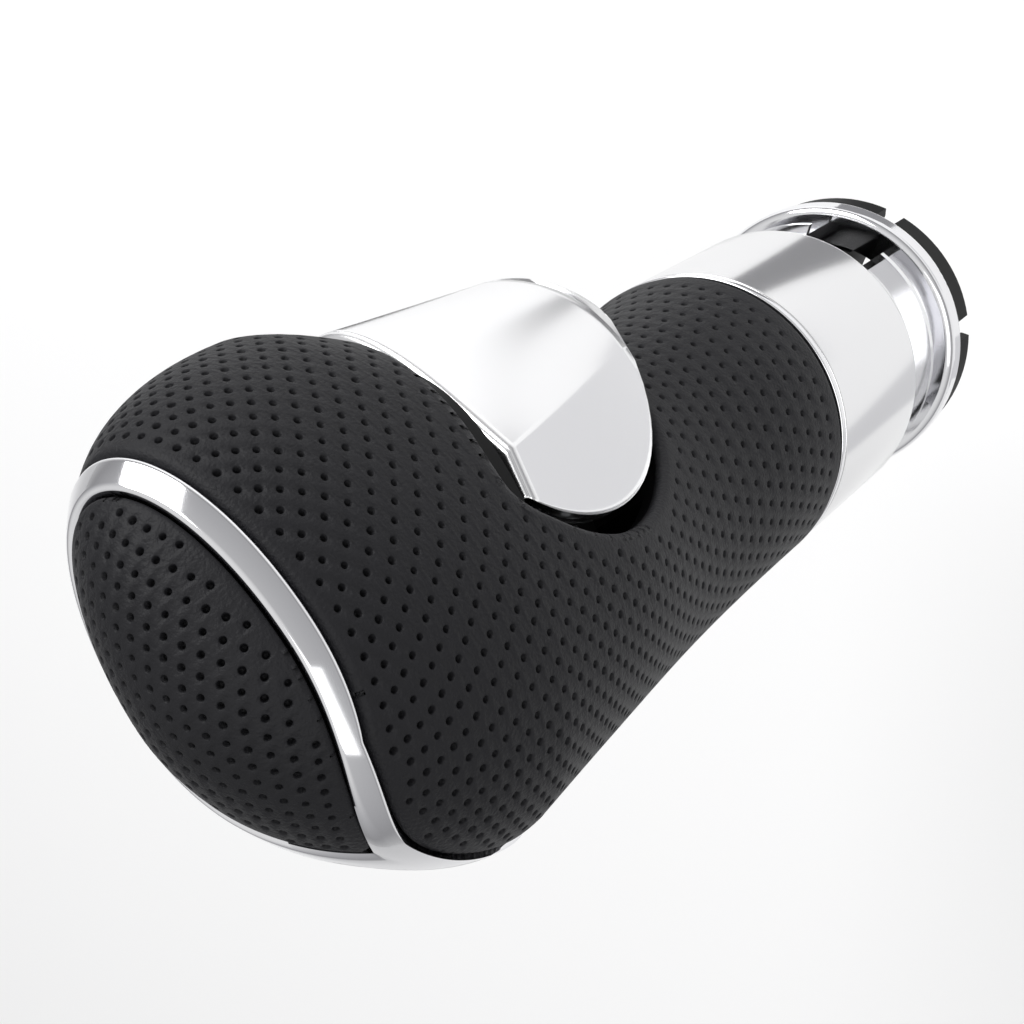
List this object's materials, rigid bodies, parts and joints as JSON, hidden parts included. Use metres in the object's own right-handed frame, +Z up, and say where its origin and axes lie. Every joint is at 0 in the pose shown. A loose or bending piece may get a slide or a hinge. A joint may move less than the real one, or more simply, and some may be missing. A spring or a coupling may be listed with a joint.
{
  "type": "gear selector knob",
  "caption": "Leather-wrapped automatic gear selector knob with a chromed release button, a bright trim ring round the top pad, a polished collar and a slotted clamp bush for the lever.",
  "frame": {"origin": "centre of the mouth of the lever bore, at the free ends of the snap fingers", "axes": "+Z up the stem to the head, +X to the front with the release button, +Y across"},
  "size_m": [0.0465, 0.0324, 0.1282],
  "materials": {
    "core": "moulded glass-filled plastic, hidden",
    "grip_leather": "perforated, fine grain",
    "trim_chrome": "bright chrome plating",
    "pad_carrier": "moulded plastic, hidden",
    "pad_leather": "perforated, fine grain",
    "end_chrome": "bright chrome plating",
    "collar_chrome": "bright chrome plating",
    "neck_chrome": "bright chrome plating",
    "bush": "black moulded plastic",
    "clamp_steel": "spring steel strip",
    "dowel_steel": "ground steel",
    "button_chrome": "satin chrome plating",
    "carrier": "moulded plastic",
    "screw_steel": "zinc plated",
    "pin_steel": "ground steel",
    "button_spring_steel": "spring wire",
    "slider": "white moulded plastic",
    "cam_steel": "ground steel",
    "slider_spring_steel": "spring wire"
  },
  "bodies": {
    "grip": {"grip_core": "core", "leather_cover": "grip_leather", "trim_ring": "trim_chrome", "pad_carrier": "pad_carrier", "pad_leather": "pad_leather", "end_ring": "end_chrome", "collar": "collar_chrome", "gaiter_neck": "neck_chrome", "lever_bush": "bush", "clamp_ring": "clamp_steel", "bush_dowels": "dowel_steel", "guide_pins": "pin_steel", "button_springs": "button_spring_steel", "slider_spring": "slider_spring_steel"},
    "button": {"button_cap": "button_chrome", "button_carrier": "carrier", "carrier_screws": "screw_steel"},
    "slider": {"rod_slider": "slider", "cam_pin": "cam_steel"}
  },
  "joints": [
    {"name": "button_press", "type": "slide", "parent": "grip", "child": "button", "axis": [-0.9603, 0, 0.279], "range_m": [0, 0.002], "stiffness_N_per_m": 900, "springref_m": -0.004, "deforming": ["button_springs"]},
    {"name": "slider_drop", "type": "slide", "parent": "grip", "child": "slider", "axis": [0, 0, -1], "range_m": [0, 0.003], "stiffness_N_per_m": 400, "springref_m": -0.003, "deforming": ["slider_spring"]}
  ],
  "couplings": [
    {"joint": "slider_drop", "follows": "button_press", "ratio": 1.5}
  ]
}
